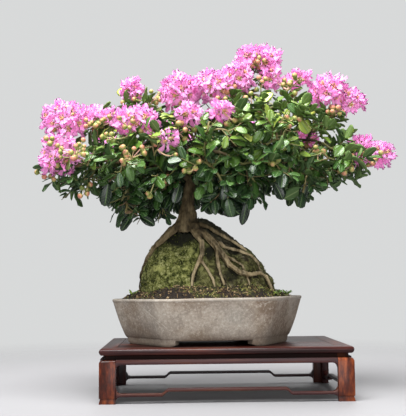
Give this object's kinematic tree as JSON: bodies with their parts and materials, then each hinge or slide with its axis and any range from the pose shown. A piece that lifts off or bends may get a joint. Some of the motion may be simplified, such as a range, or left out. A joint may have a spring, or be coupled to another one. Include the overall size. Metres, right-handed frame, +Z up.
{
  "type": "crepe myrtle bonsai",
  "caption": "Flowering crepe myrtle bonsai with roots grown over a rock, in a low six-sided footed pot on a small wooden display stand.",
  "frame": {"origin": "on the surface that the stand's feet rest on, under the middle of the whole object's box", "axes": "+Z up, +X to the right as seen from the front, +Y from the front to the back"},
  "size_m": [0.4756, 0.2876, 0.4608],
  "materials": {
    "bark": "matt bark",
    "leaves": "living leaf, satin",
    "petals": "living petal, matt",
    "stone": "rough, mossy",
    "earth": "damp granular soil",
    "ceramic": "unglazed, worn",
    "stand_wood": "polished dark wood"
  },
  "bodies": {
    "root": {"flowers_back_left": "petals", "flowers_back_middle": "petals", "flowers_back_right": "petals", "flowers_crest_left": "petals", "flowers_crest_left_low": "petals", "flowers_crest_middle": "petals", "flowers_crest_middle_low": "petals", "flowers_far_left_middle": "petals", "flowers_far_left_upper": "petals", "flowers_far_right": "petals", "flowers_left_crest": "petals", "flowers_left_front": "petals", "flowers_right_crest": "petals", "flowers_right_inner": "petals", "flowers_top": "petals", "flowers_top_right": "petals", "leaves_back_far_right": "leaves", "leaves_back_left": "leaves", "leaves_back_middle": "leaves", "leaves_back_right": "leaves", "leaves_crest_left": "leaves", "leaves_crest_middle": "leaves", "leaves_far_left_middle": "leaves", "leaves_far_left_upper": "leaves", "leaves_far_right": "leaves", "leaves_front_low": "leaves", "leaves_front_right": "leaves", "leaves_left_crest": "leaves", "leaves_left_drooping": "leaves", "leaves_left_front": "leaves", "leaves_left_low": "leaves", "leaves_right_crest": "leaves", "leaves_right_inner": "leaves", "leaves_right_low": "leaves", "leaves_top": "leaves", "leaves_top_right": "leaves", "leaves_trunk_left": "leaves", "pot": "ceramic", "rock": "stone", "soil": "earth", "stand_apron_back": "stand_wood", "stand_apron_front": "stand_wood", "stand_apron_left": "stand_wood", "stand_apron_right": "stand_wood", "stand_leg_back_left": "stand_wood", "stand_leg_back_right": "stand_wood", "stand_leg_front_left": "stand_wood", "stand_leg_front_right": "stand_wood", "stand_panel": "stand_wood", "stand_rail_back": "stand_wood", "stand_rail_front": "stand_wood", "stand_rail_left": "stand_wood", "stand_rail_right": "stand_wood", "stand_top_back": "stand_wood", "stand_top_front": "stand_wood", "stand_top_left": "stand_wood", "stand_top_right": "stand_wood", "tree": "bark"}
  },
  "joints": []
}
